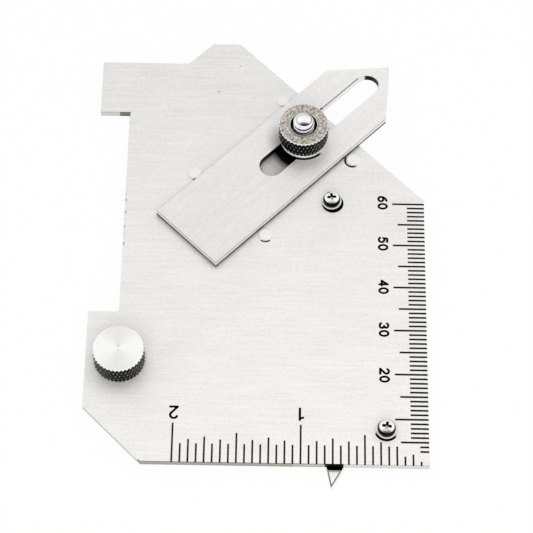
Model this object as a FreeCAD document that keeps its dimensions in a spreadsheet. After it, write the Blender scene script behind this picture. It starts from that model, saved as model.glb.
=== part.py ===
# Weld gauge: a stainless steel plate with engraved scales, a throat slide set at about 45 degrees
# and a swing arm that ends in a spur. The gauge lies on its front, with the back of the plate up.
#
# Frame: +X along the inch scale, away from the recess. +Y along the millimetre scale, away from
# its zero. +Z up. The origin is the middle of the footprint, on the surface the gauge lies on.
# The zero corner, where both scales start, is the datum that every place is measured from.
# Millimetres and degrees.

import FreeCAD, Part
import math
import os

import Sketcher

doc = FreeCAD.newDocument("weld_gauge")

SIZES = {
    # Plate
    "plate_width": 69.0,            # recess side to the millimetre edge
    "plate_height": 100.3,          # inch edge to the top
    "plate_thickness": 1.5,
    "millimetre_edge": 61.0,        # zero corner to the start of the diagonal edge
    "top_land": 5.9,                # short flat at the top
    "top_step": 5.25,               # drop from the top to the tab, at 45 degrees
    "tab_height": 13.05,
    "recess_depth": 6.3,
    "recess_floor": 33.4,           # inch edge to the lower end of the recess
    "corner_cut": 12.0,             # bevel on the corner below the thumb screw
    "edge_break": 0.12,             # small bevel round every sheet part
    # Scales
    "engraving_depth": 0.12,
    "millimetre_line": 0.42,        # widths of the marks and of the figures' strokes
    "inch_line": 0.37,
    "figure_line": 0.48,
    "millimetre": 1.0,
    "sixteenth": 1.5875,
    "mark_millimetre": 3.6,
    "mark_five": 5.6,
    "mark_ten": 6.65,
    "mark_near_zero": 1.8,
    "mark_sixteenth": 4.1,
    "mark_eighth": 5.0,
    "mark_quarter": 5.6,
    "mark_half": 6.5,
    "mark_inch": 8.5,
    "mark_third": 1.95,
    "mark_second": 2.4,
    "mark_first": 0.9,
    "figure_height": 1.72,          # middle of the stroke, top to bottom
    "figure_width": 1.12,
    "figure_pitch": 1.76,
    "figure_inset": 8.67,           # millimetre edge to the middle of the figures
    "inch_figure_height": 2.5,
    "inch_figure_width": 1.5,
    "inch_figure_gap": 1.05,        # end of the inch mark to the figure
    # Throat slide, in line with its own slot
    "slide_angle": 45.6,
    "slide_width": 17.8,
    "slide_length": 60.9,
    "slide_shoulder": 50.6,         # square end to where the nose starts
    "slide_thickness": 1.5,
    "slot_width": 4.9,
    "slot_start": 25.0,             # square end to the first end radius
    "slot_length": 29.0,            # between the two end radii
    "slide_setting": 34.5,          # square end to the stud
    "slide_gap": 0.03,              # film between the slide and what it slides under and on
    # Guide pins
    "pin_diameter": 2.8,
    "pin_height": 0.45,
    "pin_bevel": 0.15,
    "pin_clearance": 0.3,           # pin to slide
    "pin_behind": 21.8,             # stud to the pins behind it, along the slide
    "pin_ahead": 4.45,              # stud to the pins ahead of it
    # Clamp: stud, washer and nut
    "stud_x": 25.45,                # millimetre edge to the stud
    "stud_y": 74.95,                # inch edge to the stud
    "stud_diameter": 4.4,
    "stud_end_diameter": 3.2,
    "stud_end_bevel": 0.6,
    "stud_crown": 0.35,
    "stud_above_nut": 2.3,
    "stud_head_diameter": 9.0,
    "stud_press": 0.02,             # radial gap drawn between the stud and the plate
    "thread_gap": 0.05,             # radial gap drawn between a screw and its thread
    "washer_diameter": 9.6,
    "washer_thickness": 0.8,
    "washer_clearance": 0.15,       # radial, washer to stud
    "nut_height": 4.8,
    "nut_top_diameter": 10.1,
    "nut_base_diameter": 9.7,
    "nut_top_bevel": 0.35,
    "nut_base_bevel": 0.4,
    "nut_countersink": 5.7,
    "knurl_diameter": 10.5,
    "knurl_depth": 0.25,
    "knurl_count": 40,
    # Thumb screw, pivot bush and swing arm
    "pivot_x": 62.05,               # millimetre edge to the pivot
    "pivot_y": 22.45,               # inch edge to the pivot
    "knob_height": 5.0,
    "knob_top_diameter": 9.9,
    "knob_bevel": 0.4,
    "knob_gap": 0.03,               # knob to plate
    "centre_mark": 0.9,
    "thumb_diameter": 3.0,
    "bush_diameter": 6.0,
    "bush_rivet_diameter": 7.2,
    "bush_rivet_height": 0.5,
    "bush_gap": 0.05,               # radial running gap in the plate
    "bush_top_gap": 0.1,            # bush to the knob
    "rivet_gap": 0.02,              # radial gap drawn between the bush and the arm
    "arm_radius": 50.37,            # pivot to the end of the arm and to the tip of the spur
    "arm_end_radius": 6.4,          # round end of the arm
    "arm_upper_angle": -3.0,        # upper edge, from +X
    "arm_lower_angle": -17.8,       # lower edge, from +X
    "arm_gap": 0.05,                # arm to plate
    "spur_reach": 4.27,             # tip of the spur below the inch edge
    "spur_edge_angle": 101.3,       # inner edge of the spur, from +X
    "spur_edge_length": 7.4,
    # Arc strip and its two screws
    "strip_thickness": 1.5,
    "strip_gap": 0.4,               # end of the arm to the strip
    "strip_width": 9.6,
    "strip_from": -20.5,            # lower end of the strip, about the pivot
    "strip_to": 47.0,               # upper end
    "lower_screw_radius": 55.65,    # pivot to the lower screw
    "lower_screw_angle": -15.46,
    "upper_screw_radius": 57.05,    # pivot to the upper screw
    "upper_screw_angle": 41.6,
    "screw_diameter": 2.0,
    "screw_clearance": 0.1,         # radial, in the plate
    "screw_head_diameter": 3.7,
    "screw_head_height": 1.6,
    "screw_head_shoulder": 0.9,     # top of the dome to where the head's side ends
    "screw_head_crown": 0.3,        # height of the dome
    "screw_end_gap": 0.2,           # screw end to the surface below
    "recess_length": 2.2,
    "recess_slot": 0.6,
    "recess_depth_cross": 0.9,
    "spring_washer_diameter": 4.4,
    "spring_washer_thickness": 0.5,
    "spring_washer_gap_angle": 14.0,
    "spring_washer_turn": -30.0,
}

sheet = doc.addObject("Spreadsheet::Sheet", "sizes")
for row, (alias, size) in enumerate(SIZES.items(), start=1):
    sheet.set(f"A{row}", alias)
    sheet.set(f"B{row}", str(size))
    sheet.setAlias(f"B{row}", alias)
doc.recompute()

# Places that more than one piece is built to, as expressions on the sheet.
CORNER_X = "sizes.plate_width / 2"
CORNER_Y = "-(sizes.plate_height - sizes.spur_reach) / 2"
PLATE_BASE = "sizes.strip_thickness"
PLATE_TOP = "(sizes.strip_thickness + sizes.plate_thickness)"
SLIDE_TOP = f"({PLATE_TOP} + sizes.slide_gap + sizes.slide_thickness)"
WASHER_BASE = f"({SLIDE_TOP} + sizes.slide_gap)"
NUT_BASE = f"({WASHER_BASE} + sizes.washer_thickness)"
NUT_TOP = f"({NUT_BASE} + sizes.nut_height)"
STUD_X = f"({CORNER_X} - sizes.stud_x)"
STUD_Y = f"({CORNER_Y} + sizes.stud_y)"
PIVOT_X = f"({CORNER_X} - sizes.pivot_x)"
PIVOT_Y = f"({CORNER_Y} + sizes.pivot_y)"
STRIP_INNER = "(sizes.arm_radius + sizes.strip_gap)"

SCREW_SIDES = ("lower", "upper")


def number(expression):
    """Value of an expression on the sheet."""
    return float(sheet.evalExpression(expression))


def place(piece, x="0", y="0", z="0", turn="0"):
    """Put a piece at x, y, z and turn it about its own Z axis; all four are expressions."""
    piece.setExpression("Placement.Base.x", x)
    piece.setExpression("Placement.Base.y", y)
    piece.setExpression("Placement.Base.z", z)
    piece.setExpression("Placement.Rotation.Axis.x", "0")
    piece.setExpression("Placement.Rotation.Axis.y", "0")
    piece.setExpression("Placement.Rotation.Axis.z", "1")
    piece.setExpression("Placement.Rotation.Angle", turn)


def new_body(label):
    """A body whose label is the piece's name."""
    body = doc.addObject("PartDesign::Body", label)
    body.Label = label
    return body


def new_sketch(body, name, plane="XY_Plane", height=None):
    """A sketch on one of the body's own origin planes, raised by an expression if one is given."""
    sketch = body.newObject("Sketcher::SketchObject", name)
    support = next(o for o in body.Origin.OriginFeatures if o.Role == plane)
    sketch.AttachmentSupport = [(support, "")]
    sketch.MapMode = "FlatFace"
    if height:
        sketch.setExpression("AttachmentOffset.Base.z", height)
    return sketch


def locate(sketch, curve, point, x, y):
    """Tie a point of a curve to x and y, given as expressions from the sketch's origin."""
    for kind, axis, text in (("DistanceX", -2, x), ("DistanceY", -1, y)):
        if text == "0":
            sketch.addConstraint(Sketcher.Constraint("PointOnObject", curve, point, axis))
        else:
            constraint = Sketcher.Constraint(kind, -1, 1, curve, point, number(text))
            index = sketch.addConstraint(constraint)
            sketch.setExpression(f"Constraints[{index}]", text)


def outline(sketch, corners):
    """A closed outline of straight lines through the corners, each a pair of expressions."""
    points = [FreeCAD.Vector(number(x), number(y), 0) for x, y in corners]
    first = sketch.GeometryCount
    for point, following in zip(points, points[1:] + points[:1]):
        sketch.addGeometry(Part.LineSegment(point, following), False)
    for i, (x, y) in enumerate(corners):
        following = first + (i + 1) % len(corners)
        sketch.addConstraint(Sketcher.Constraint("Coincident", first + i, 2, following, 1))
        locate(sketch, first + i, 1, x, y)


def circle(sketch, x, y, diameter):
    """A circle round x, y; all three are expressions."""
    centre = FreeCAD.Vector(number(x), number(y), 0)
    radius = number(diameter) / 2
    curve = sketch.addGeometry(Part.Circle(centre, FreeCAD.Vector(0, 0, 1), radius), False)
    index = sketch.addConstraint(Sketcher.Constraint("Diameter", curve, radius * 2))
    sketch.setExpression(f"Constraints[{index}]", diameter)
    locate(sketch, curve, 3, x, y)


def slot(sketch, start, length, width):
    """A slot with round ends along X, from the centre of its first end."""
    x, run, radius = number(start), number(length), number(width) / 2
    up = FreeCAD.Vector(0, 0, 1)
    near = Part.Circle(FreeCAD.Vector(x, 0, 0), up, radius)
    far = Part.Circle(FreeCAD.Vector(x + run, 0, 0), up, radius)
    a = sketch.addGeometry(Part.ArcOfCircle(near, math.pi / 2, 3 * math.pi / 2), False)
    low = Part.LineSegment(FreeCAD.Vector(x, -radius, 0), FreeCAD.Vector(x + run, -radius, 0))
    b = sketch.addGeometry(low, False)
    c = sketch.addGeometry(Part.ArcOfCircle(far, -math.pi / 2, math.pi / 2), False)
    high = Part.LineSegment(FreeCAD.Vector(x + run, radius, 0), FreeCAD.Vector(x, radius, 0))
    d = sketch.addGeometry(high, False)
    for one, end, other, begin in ((a, 2, b, 1), (b, 2, c, 1), (c, 2, d, 1), (d, 2, a, 1)):
        sketch.addConstraint(Sketcher.Constraint("Tangent", one, end, other, begin))
    locate(sketch, a, 3, start, "0")
    locate(sketch, c, 3, f"{start} + {length}", "0")
    index = sketch.addConstraint(Sketcher.Constraint("Radius", a, radius))
    sketch.setExpression(f"Constraints[{index}]", f"{width} / 2")


def pad(body, sketch, length):
    """Raise a sketch by an expression."""
    feature = body.newObject("PartDesign::Pad", f"{sketch.Name}_pad")
    feature.Profile = sketch
    feature.setExpression("Length", length)
    return feature


def pocket(body, sketch, depth):
    """Cut a sketch down into the body by an expression."""
    feature = body.newObject("PartDesign::Pocket", f"{sketch.Name}_pocket")
    feature.Profile = sketch
    feature.setExpression("Length", depth)
    return feature


def turned(body, profile, crown=False, sweep=None):
    """Turn a profile of radius and height pairs about the body's Z axis.

    With crown, the profile's last line but one, which ends on the axis, is a dome. With sweep, the
    profile is turned through that angle and not all the way round.
    """
    sketch = new_sketch(body, f"{body.Name}_profile", "XZ_Plane")
    if crown:
        domed_outline(sketch, profile)
    else:
        outline(sketch, profile)
    feature = body.newObject("PartDesign::Revolution", f"{body.Name}_turning")
    feature.Profile = sketch
    feature.ReferenceAxis = (sketch, ["V_Axis"])
    if sweep:
        feature.setExpression("Angle", sweep)
    else:
        feature.Angle = 360
    return feature


def domed_outline(sketch, corners):
    """An outline whose line from the corner before the last to the last is an arc.

    The arc's centre is on the Y axis, and the last corner is on that axis.
    """
    points = [FreeCAD.Vector(number(x), number(y), 0) for x, y in corners]
    for point, following in zip(points[:-2], points[1:-1]):
        sketch.addGeometry(Part.LineSegment(point, following), False)
    rim, top = points[-2], points[-1]
    rise = top.y - rim.y
    radius = (rim.x ** 2 + rise ** 2) / (2 * rise)
    centre = FreeCAD.Vector(0, top.y - radius, 0)
    start = math.atan2(rim.y - centre.y, rim.x)
    round_part = Part.Circle(centre, FreeCAD.Vector(0, 0, 1), radius)
    arc = sketch.addGeometry(Part.ArcOfCircle(round_part, start, math.pi / 2), False)
    axis = sketch.addGeometry(Part.LineSegment(top, points[0]), False)
    for line in range(arc):
        sketch.addConstraint(Sketcher.Constraint("Coincident", line, 2, line + 1, 1))
    sketch.addConstraint(Sketcher.Constraint("Coincident", arc, 2, axis, 1))
    sketch.addConstraint(Sketcher.Constraint("Coincident", axis, 2, 0, 1))
    for i, (x, y) in enumerate(corners[:-1]):
        locate(sketch, i, 1, x, y)
    locate(sketch, axis, 1, *corners[-1])
    sketch.addConstraint(Sketcher.Constraint("PointOnObject", arc, 3, -2))


def break_edges(body, feature, thickness):
    """Bevel the edges of a sheet part that lie in its two faces."""
    doc.recompute()
    faces = (0.0, number(thickness))
    names = []
    for i, edge in enumerate(feature.Shape.Edges, start=1):
        heights = [vertex.Z for vertex in edge.Vertexes]
        if any(all(abs(z - face) < 1e-6 for z in heights) for face in faces):
            names.append(f"Edge{i}")
    bevel = body.newObject("PartDesign::Chamfer", f"{body.Name}_edges")
    bevel.Base = (feature, names)
    bevel.setExpression("Size", "sizes.edge_break")
    return bevel


def row_of_marks(body, name, first, last, step, along, pitch, length):
    """Engrave a row of scale marks and repeat it along the edge.

    The marks start at the edge that holds the scale. along is "X" or "Y", the way the scale
    counts from the zero corner, which is the body's own origin. first, last and step count in
    units of pitch.
    """
    sketch = new_sketch(body, name, height="sizes.plate_thickness")
    run_out = "sizes.millimetre_line" if along == "Y" else "sizes.inch_line"
    half = f"{run_out} / 2"
    at = f"{first} * {pitch}"
    if along == "Y":
        box = [(f"-{length}", f"{at} - {half}"), (run_out, f"{at} - {half}"),
               (run_out, f"{at} + {half}"), (f"-{length}", f"{at} + {half}")]
    else:
        box = [(f"-({at}) - {half}", f"-{run_out}"), (f"-({at}) + {half}", f"-{run_out}"),
               (f"-({at}) + {half}", length), (f"-({at}) - {half}", length)]
    outline(sketch, box)
    mark = pocket(body, sketch, "sizes.engraving_depth")
    mark.Refine = False
    count = (last - first) // step + 1
    if count == 1:
        return mark
    pattern = body.newObject("PartDesign::LinearPattern", f"{name}_row")
    pattern.Originals = [mark]
    role = "Y_Axis" if along == "Y" else "X_Axis"
    axis = next(o for o in body.Origin.OriginFeatures if o.Role == role)
    pattern.Direction = (axis, [""])
    pattern.Reversed = along == "X"
    pattern.Refine = False
    pattern.Occurrences = count
    pattern.setExpression("Length", f"{last - first} * {pitch}")
    body.Tip = pattern
    return pattern


# Rows of marks, counted from the zero corner: name, first, last, step, length.
MILLIMETRE_MARKS = (
    ("marks_near_zero", 3, 4, 1, "sizes.mark_near_zero"),
    ("marks_millimetre", 5, 60, 1, "sizes.mark_millimetre"),
    ("marks_five", 5, 55, 10, "sizes.mark_five"),
    ("marks_ten", 10, 60, 10, "sizes.mark_ten"),
)
INCH_MARKS = (
    ("mark_first", 1, 1, 1, "sizes.mark_first"),
    ("mark_second", 2, 2, 1, "sizes.mark_second"),
    ("mark_third", 3, 3, 1, "sizes.mark_third"),
    ("marks_sixteenth", 4, 31, 1, "sizes.mark_sixteenth"),
    ("marks_eighth", 6, 30, 4, "sizes.mark_eighth"),
    ("marks_quarter", 12, 28, 8, "sizes.mark_quarter"),
    ("marks_half", 8, 24, 16, "sizes.mark_half"),
    ("marks_inch", 16, 32, 16, "sizes.mark_inch"),
)
SIXTEENTHS_PER_INCH = 16

# How far each number was engraved past its mark, counted from the zero corner.
MILLIMETRE_NUMBERS = {20: -0.2, 30: 0.18, 40: 0.1, 50: 0.38, 60: 0.33}
INCH_NUMBERS = {1: 0.0, 2: -0.13}

# Figures, as an engraver draws them with one stroke. A figure is one unit wide and one unit high.
# A line is its two ends; an arc is its centre, its two half axes and the angles it runs between.
FIGURES = {
    "0": (("arc", 0.5, 0.5, 0.5, 0.5, 0, 360),),
    "1": (("line", 0.63, 1.0, 0.63, 0.0), ("line", 0.63, 0.88, 0.2, 0.8)),
    "2": (("arc", 0.5, 0.72, 0.47, 0.28, -32, 155), ("line", 0.9, 0.572, 0.0, 0.0),
          ("line", 0.0, 0.0, 1.0, 0.0)),
    "3": (("arc", 0.45, 0.75, 0.45, 0.25, -80, 155), ("arc", 0.45, 0.26, 0.5, 0.26, -155, 80)),
    "4": (("line", 0.75, 1.0, 0.0, 0.3), ("line", 0.0, 0.3, 1.0, 0.3),
          ("line", 0.75, 1.0, 0.75, 0.0)),
    "5": (("line", 0.9, 1.0, 0.2, 1.0), ("line", 0.2, 1.0, 0.08, 0.56),
          ("arc", 0.45, 0.33, 0.5, 0.33, -150, 138)),
    "6": (("arc", 0.5, 0.3, 0.48, 0.3, 0, 360), ("arc", 1.02, 0.3, 1.0, 0.68, 100, 180)),
}


def figure_cutter(text, width, height, pitch, depth):
    """What cuts a number: round-ended grooves, with the number's middle at the origin."""
    pen = SIZES["figure_line"] / 2
    grooves = []
    for i, figure in enumerate(text):
        left = (i - (len(text) - 1) / 2) * pitch - width / 2
        for kind, *values in FIGURES[figure]:
            scaled = [value * (height if n % 2 else width) for n, value in enumerate(values[:4])]
            start = FreeCAD.Vector(left + scaled[0], scaled[1] - height / 2, 0)
            if kind == "line":
                end = FreeCAD.Vector(left + scaled[2], scaled[3] - height / 2, 0)
                face = straight_stroke(start, end, pen)
            else:
                face = curved_stroke(start, scaled[2], scaled[3], *values[4:], pen)
            grooves.append(face.extrude(FreeCAD.Vector(0, 0, -depth)))
    cutter = grooves[0].multiFuse(grooves[1:]).removeSplitter()
    if not cutter.isValid() or len(cutter.Solids) != len(text):
        raise RuntimeError(f"the strokes of {text} do not join into one groove each")
    return cutter


def straight_stroke(a, b, half):
    """The face of a straight stroke with round ends from a to b."""
    run = b - a
    side = FreeCAD.Vector(-run.y, run.x, 0).normalize() * half
    ahead = FreeCAD.Vector(run).normalize() * half
    edges = [Part.LineSegment(a - side, b - side).toShape(),
             Part.Arc(b - side, b + ahead, b + side).toShape(),
             Part.LineSegment(b + side, a + side).toShape(),
             Part.Arc(a + side, a - ahead, a - side).toShape()]
    return Part.Face(Part.Wire(edges))


def elliptic_edge(centre, across, up, start, end):
    """Part of an ellipse about the centre, between two angles in degrees."""
    if across >= up:
        curve = Part.Ellipse(centre + FreeCAD.Vector(across, 0, 0),
                             centre + FreeCAD.Vector(0, up, 0), centre)
        turn = 0
    else:
        curve = Part.Ellipse(centre + FreeCAD.Vector(0, up, 0),
                             centre + FreeCAD.Vector(-across, 0, 0), centre)
        turn = 90
    return curve.toShape(math.radians(start - turn), math.radians(end - turn))


def curved_stroke(centre, across, up, start, end, half):
    """The face of an elliptic stroke: a ring, or an arc of one with round ends."""
    outer = elliptic_edge(centre, across + half, up + half, start, end)
    inner = elliptic_edge(centre, across - half, up - half, start, end)
    if end - start == 360:
        return Part.Face(Part.Wire([outer])).cut(Part.Face(Part.Wire([inner]))).Faces[0]
    caps = []
    for angle, way in ((start, -1), (end, 1)):
        turn = math.radians(angle)
        out = FreeCAD.Vector(math.cos(turn), math.sin(turn), 0)
        spine = centre + FreeCAD.Vector(across * out.x, up * out.y, 0)
        along = FreeCAD.Vector(-across * out.y, up * out.x, 0).normalize() * half * way
        far = centre + FreeCAD.Vector((across + half) * out.x, (up + half) * out.y, 0)
        near = centre + FreeCAD.Vector((across - half) * out.x, (up - half) * out.y, 0)
        caps.append(Part.Arc(far, spine + along, near).toShape())
    return Part.Face(Part.Wire(Part.__sortEdges__([outer, caps[0], inner, caps[1]])))


def make_plate():
    """The plate: outline, holes, engraved marks and engraved figures."""
    body = new_body("plate_blank")
    left = "-sizes.plate_width"
    inner = "-(sizes.plate_width - sizes.recess_depth)"
    tab_top = "sizes.plate_height - sizes.top_step"
    top_x = "-(sizes.plate_height - sizes.millimetre_edge)"
    sketch = new_sketch(body, "plate_outline")
    outline(sketch, [
        ("0", "0"),
        ("0", "sizes.millimetre_edge"),
        (top_x, "sizes.plate_height"),
        (f"{top_x} - sizes.top_land", "sizes.plate_height"),
        (f"{top_x} - sizes.top_land - sizes.top_step", tab_top),
        (left, tab_top),
        (left, f"{tab_top} - sizes.tab_height"),
        (inner, f"{tab_top} - sizes.tab_height"),
        (inner, "sizes.recess_floor"),
        (left, "sizes.recess_floor"),
        (left, "sizes.corner_cut"),
        (f"{left} + sizes.corner_cut", "0"),
    ])
    blank = pad(body, sketch, "sizes.plate_thickness")
    break_edges(body, blank, "sizes.plate_thickness")

    holes = new_sketch(body, "plate_holes", height="sizes.plate_thickness")
    circle(holes, "-sizes.stud_x", "sizes.stud_y", "sizes.stud_diameter + 2 * sizes.stud_press")
    circle(holes, "-sizes.pivot_x", "sizes.pivot_y", "sizes.bush_diameter + 2 * sizes.bush_gap")
    for along, across in pin_places():
        x, y = slide_to_corner(along, across)
        circle(holes, x, y, "sizes.pin_diameter")
    for side in SCREW_SIDES:
        x, y = screw_from_pivot(side)
        circle(holes, f"{x} - sizes.pivot_x", f"{y} + sizes.pivot_y",
               "sizes.screw_diameter + 2 * sizes.screw_clearance")
    pocket(body, holes, "sizes.plate_thickness")

    for name, first, last, step, length in MILLIMETRE_MARKS:
        row_of_marks(body, name, first, last, step, "Y", "sizes.millimetre", length)
    for name, first, last, step, length in INCH_MARKS:
        row_of_marks(body, name, first, last, step, "X", "sizes.sixteenth", length)

    plate = doc.addObject("Part::Cut", "main_plate")
    plate.Label = "main_plate"
    plate.Base = body
    plate.Tool = make_figures()
    place(plate, CORNER_X, CORNER_Y, PLATE_BASE)
    return plate


def make_figures():
    """The cutter for all the numbers of both scales."""
    face = SIZES["plate_thickness"]
    lift = SIZES["engraving_depth"]
    depth = 2 * lift
    cutters = []
    for tens, past in MILLIMETRE_NUMBERS.items():
        cutter = figure_cutter(str(tens), SIZES["figure_width"], SIZES["figure_height"],
                               SIZES["figure_pitch"], depth)
        cutter.rotate(FreeCAD.Vector(0, 0, 0), FreeCAD.Vector(0, 0, 1), -90)
        y = tens * SIZES["millimetre"] + past
        cutter.translate(FreeCAD.Vector(-SIZES["figure_inset"], y, face + lift))
        cutters.append(cutter)
    for inches, past in INCH_NUMBERS.items():
        cutter = figure_cutter(str(inches), SIZES["inch_figure_width"],
                               SIZES["inch_figure_height"], SIZES["inch_figure_width"], depth)
        cutter.rotate(FreeCAD.Vector(0, 0, 0), FreeCAD.Vector(0, 0, 1), 180)
        x = -(inches * SIXTEENTHS_PER_INCH * SIZES["sixteenth"] + past)
        y = SIZES["mark_inch"] + SIZES["inch_figure_gap"] + SIZES["inch_figure_height"] / 2
        cutter.translate(FreeCAD.Vector(x, y, face + lift))
        cutters.append(cutter)
    figures = doc.addObject("Part::Feature", "scale_figures")
    figures.Shape = Part.makeCompound(cutters)
    return figures


def pin_places():
    """Where the guide pins stand: along and across the slide from the stud."""
    reach = "(sizes.slide_width / 2 + sizes.pin_clearance + sizes.pin_diameter / 2)"
    return (("-sizes.pin_behind", reach), ("sizes.pin_ahead", reach),
            ("-sizes.pin_behind", f"-{reach}"), ("sizes.pin_ahead", f"-{reach}"))


def slide_to_corner(along, across):
    """A place given along and across the slide from the stud, measured from the zero corner."""
    cosine, sine = "cos(sizes.slide_angle)", "sin(sizes.slide_angle)"
    x = f"({along}) * {cosine} - ({across}) * {sine} - sizes.stud_x"
    y = f"({along}) * {sine} + ({across}) * {cosine} + sizes.stud_y"
    return x, y


def make_slide():
    """The throat slide: a bar with a pointed nose and a long slot."""
    body = new_body("throat_slide")
    half = "sizes.slide_width / 2"
    sketch = new_sketch(body, "slide_outline")
    outline(sketch, [
        ("0", f"-{half}"),
        ("sizes.slide_shoulder", f"-{half}"),
        ("sizes.slide_length", "0"),
        ("sizes.slide_shoulder", half),
        ("0", half),
    ])
    pad(body, sketch, "sizes.slide_thickness")
    opening = new_sketch(body, "slide_slot", height="sizes.slide_thickness")
    slot(opening, "sizes.slot_start", "sizes.slot_length", "sizes.slot_width")
    slotted = pocket(body, opening, "sizes.slide_thickness")
    break_edges(body, slotted, "sizes.slide_thickness")
    x = f"{STUD_X} - sizes.slide_setting * cos(sizes.slide_angle)"
    y = f"{STUD_Y} - sizes.slide_setting * sin(sizes.slide_angle)"
    place(body, x, y, f"{PLATE_TOP} + sizes.slide_gap", "sizes.slide_angle")
    return body


def make_guide_pins():
    """Four pins pressed into the plate, two on each side of the slide."""
    names = ("guide_pin_left_behind", "guide_pin_left_ahead",
             "guide_pin_right_behind", "guide_pin_right_ahead")
    pins = []
    radius = "sizes.pin_diameter / 2"
    top = "sizes.plate_thickness + sizes.pin_height"
    for name, (along, across) in zip(names, pin_places()):
        body = new_body(name)
        turned(body, [("0", "0"), (radius, "0"), (radius, f"{top} - sizes.pin_bevel"),
                      (f"{radius} - sizes.pin_bevel", top), ("0", top)])
        x, y = slide_to_corner(along, across)
        place(body, f"{CORNER_X} + {x}", f"{CORNER_Y} + {y}", PLATE_BASE)
        pins.append(body)
    return pins


def make_stud():
    """The clamp stud: a low flat head under the plate and a threaded shank with a domed end."""
    body = new_body("clamp_stud")
    head = "sizes.stud_head_diameter / 2"
    shank = "sizes.stud_diameter / 2"
    end = "sizes.stud_end_diameter / 2"
    top = f"{NUT_TOP} + sizes.stud_above_nut"
    turned(body, [
        ("0", "0"),
        (f"{head} - sizes.edge_break", "0"),
        (head, "sizes.edge_break"),
        (head, "sizes.strip_thickness"),
        (shank, "sizes.strip_thickness"),
        (shank, f"{top} - sizes.stud_crown - sizes.stud_end_bevel"),
        (end, f"{top} - sizes.stud_crown"),
        ("0", top),
    ], crown=True)
    place(body, STUD_X, STUD_Y)
    return body


def make_clamp_washer():
    """The plain washer under the clamp nut."""
    body = new_body("clamp_washer")
    bore = "(sizes.stud_diameter / 2 + sizes.washer_clearance)"
    rim = "sizes.washer_diameter / 2"
    turned(body, [
        (bore, "0"),
        (rim, "0"),
        (rim, "sizes.washer_thickness - sizes.edge_break"),
        (f"{rim} - sizes.edge_break", "sizes.washer_thickness"),
        (bore, "sizes.washer_thickness"),
    ])
    place(body, STUD_X, STUD_Y, WASHER_BASE)
    return body


def knurl(body, base, height):
    """Cut grooves round the outside of a body, from base up to height."""
    sketch = new_sketch(body, f"{body.Name}_groove", height=height)
    root = "sizes.knurl_diameter / 2 - sizes.knurl_depth"
    outside = "sizes.knurl_diameter / 2 + sizes.knurl_depth"
    outline(sketch, [(root, "0"), (outside, "2 * sizes.knurl_depth"),
                     (outside, "-2 * sizes.knurl_depth")])
    cut = pocket(body, sketch, f"{height} - ({base})")
    around = body.newObject("PartDesign::PolarPattern", f"{body.Name}_knurl")
    around.Originals = [cut]
    axis = next(o for o in body.Origin.OriginFeatures if o.Role == "Z_Axis")
    around.Axis = (axis, [""])
    around.Angle = 360
    around.setExpression("Occurrences", "sizes.knurl_count")
    body.Tip = around
    return around


def make_clamp_nut():
    """The knurled clamp nut, countersunk at the top."""
    body = new_body("clamp_nut")
    bore = "sizes.stud_diameter / 2 + sizes.thread_gap"
    mouth = "sizes.nut_countersink / 2"
    outside = "sizes.knurl_diameter / 2"
    top = "sizes.nut_height"
    turned(body, [
        (bore, "0"),
        ("sizes.nut_base_diameter / 2", "0"),
        (outside, "sizes.nut_base_bevel"),
        (outside, f"{top} - sizes.nut_top_bevel"),
        ("sizes.nut_top_diameter / 2", top),
        (mouth, top),
        (bore, f"{top} - ({mouth} - ({bore}))"),
    ])
    knurl(body, "0", f"{top} - sizes.nut_top_bevel / 2")
    place(body, STUD_X, STUD_Y, NUT_BASE)
    return body


def make_thumb_screw():
    """The knurled thumb screw, turned in one piece with its shank."""
    body = new_body("thumb_screw")
    shank = "sizes.thumb_diameter / 2"
    outside = "sizes.knurl_diameter / 2"
    seat = f"{PLATE_TOP} + sizes.knob_gap"
    top = f"{PLATE_TOP} + sizes.knob_height"
    mark = "sizes.centre_mark / 2"
    turned(body, [
        ("0", "sizes.arm_gap"),
        (shank, "sizes.arm_gap"),
        (shank, seat),
        (f"{outside} - sizes.edge_break", seat),
        (outside, f"{seat} + sizes.edge_break"),
        (outside, f"{top} - sizes.knob_bevel"),
        ("sizes.knob_top_diameter / 2", top),
        (mark, top),
        ("0", f"{top} - {mark} / 2"),
    ])
    knurl(body, seat, f"{top} - sizes.knob_bevel / 2")
    place(body, PIVOT_X, PIVOT_Y)
    return body


def make_pivot_bush():
    """The threaded bush that is riveted into the arm and turns in the plate."""
    body = new_body("pivot_bush")
    bore = "sizes.thumb_diameter / 2 + sizes.thread_gap"
    outside = "sizes.bush_diameter / 2"
    rivet = "sizes.bush_rivet_diameter / 2"
    turned(body, [
        (bore, "0"),
        (rivet, "0"),
        (rivet, "sizes.bush_rivet_height"),
        (outside, "sizes.bush_rivet_height"),
        (outside, f"{PLATE_TOP} - sizes.bush_top_gap"),
        (bore, f"{PLATE_TOP} - sizes.bush_top_gap"),
    ])
    place(body, PIVOT_X, PIVOT_Y)
    return body


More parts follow.
